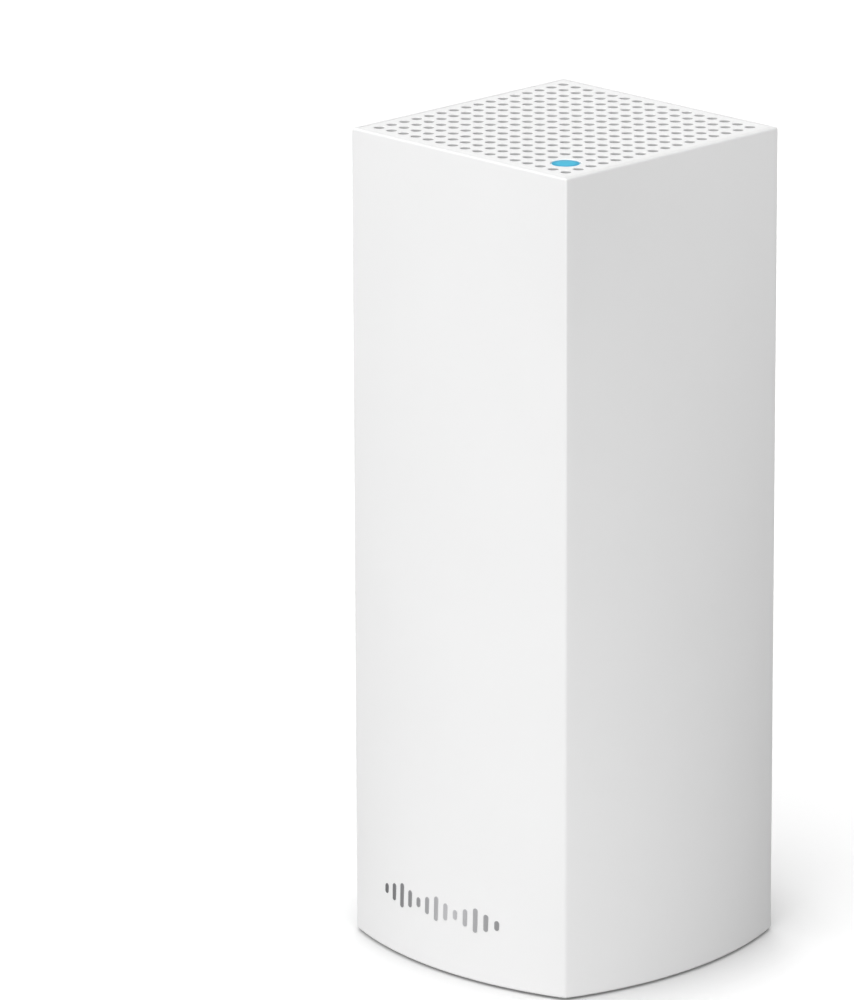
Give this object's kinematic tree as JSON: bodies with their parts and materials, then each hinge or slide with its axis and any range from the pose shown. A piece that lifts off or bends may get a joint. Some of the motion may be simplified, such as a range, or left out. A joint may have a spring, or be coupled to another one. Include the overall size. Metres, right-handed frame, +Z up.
{
  "type": "mesh wifi node",
  "caption": "Tall square mesh wifi tower with bowed walls, a perforated top with a round status light, and sockets facing down into a well in the base.",
  "frame": {"origin": "middle of the base on the surface it stands on", "axes": "+Z up, -Y is the wall with the badge, +Y is the rear wall with the cable slot, and the status light is in the corner between +X and -Y"},
  "size_m": [0.079, 0.0787, 0.185],
  "materials": {
    "white_shell": "fine matt moulded white plastic",
    "white_base": "matt moulded white plastic",
    "light_diffuser": "diffusing light pipe lit cyan blue",
    "led_lens": "clear epoxy",
    "grey_rubber": "matt",
    "silver_foil": "satin silver foil",
    "label_film": "satin film",
    "black_frame": "matt moulded black plastic",
    "circuit_board": "green solder mask",
    "aluminium": "extruded",
    "tinned_steel": "bright tinned",
    "chip_epoxy": "matt epoxy",
    "thermal_pad": "soft silicone",
    "lead_jacket": "smooth jacket",
    "ceramic_antenna": "plain",
    "black_plastic": "moulded",
    "brass": "stamped",
    "red_button": "moulded"
  },
  "bodies": {
    "housing": {"outer_sleeve": "white_shell", "top_grille": "white_shell", "status_light_pipe": "light_diffuser", "status_led": "led_lens", "led_board": "circuit_board", "main_board": "circuit_board", "led_lead": "lead_jacket", "antenna_lead_1": "lead_jacket", "antenna_lead_2": "lead_jacket", "antenna_lead_3": "lead_jacket", "antenna_lead_4": "lead_jacket", "antenna_lead_5": "lead_jacket", "antenna_lead_6": "lead_jacket", "front_badge": "silver_foil", "base_tray": "white_base", "rubber_foot_1": "grey_rubber", "rubber_foot_2": "grey_rubber", "rubber_foot_3": "grey_rubber", "rubber_foot_4": "grey_rubber", "base_screw_1": "tinned_steel", "base_screw_2": "tinned_steel", "base_screw_3": "tinned_steel", "base_screw_4": "tinned_steel", "heatsink_screw_1": "tinned_steel", "heatsink_screw_2": "tinned_steel", "heatsink_screw_3": "tinned_steel", "heatsink_screw_4": "tinned_steel", "processor_shield": "tinned_steel", "front_radio_shield": "tinned_steel", "rear_radio_shield": "tinned_steel", "rating_label": "label_film", "lan_jack_1": "black_plastic", "lan_jack_2": "black_plastic", "dc_jack": "black_plastic", "power_switch_body": "black_plastic", "reset_switch": "black_plastic", "dc_pin": "brass", "antenna_1": "brass", "antenna_2": "brass", "antenna_3": "brass", "antenna_4": "brass", "antenna_5": "brass", "antenna_6": "brass", "inner_frame": "black_frame", "front_heatsink": "aluminium", "rear_heatsink": "aluminium", "processor": "chip_epoxy", "radio_chip_1": "chip_epoxy", "radio_chip_2": "chip_epoxy", "radio_chip_3": "chip_epoxy", "memory_chip": "chip_epoxy", "flash_chip": "chip_epoxy", "processor_thermal_pad": "thermal_pad", "front_radio_thermal_pad": "thermal_pad", "rear_radio_thermal_pad": "thermal_pad", "bluetooth_antenna": "ceramic_antenna"},
    "rocker": {"power_rocker": "black_plastic"},
    "reset_key": {"reset_button": "red_button"}
  },
  "joints": [
    {"name": "power_rock", "type": "hinge", "parent": "housing", "child": "rocker", "pos_m": [0.002, 0.0085, 0.0415], "axis": [1, 0, 0], "range_deg": [0, 20]},
    {"name": "reset_press", "type": "slide", "parent": "housing", "child": "reset_key", "axis": [0, 0, 1], "range_m": [0, 0.0005], "stiffness_N_per_m": 1000, "springref_m": -0.0004}
  ]
}
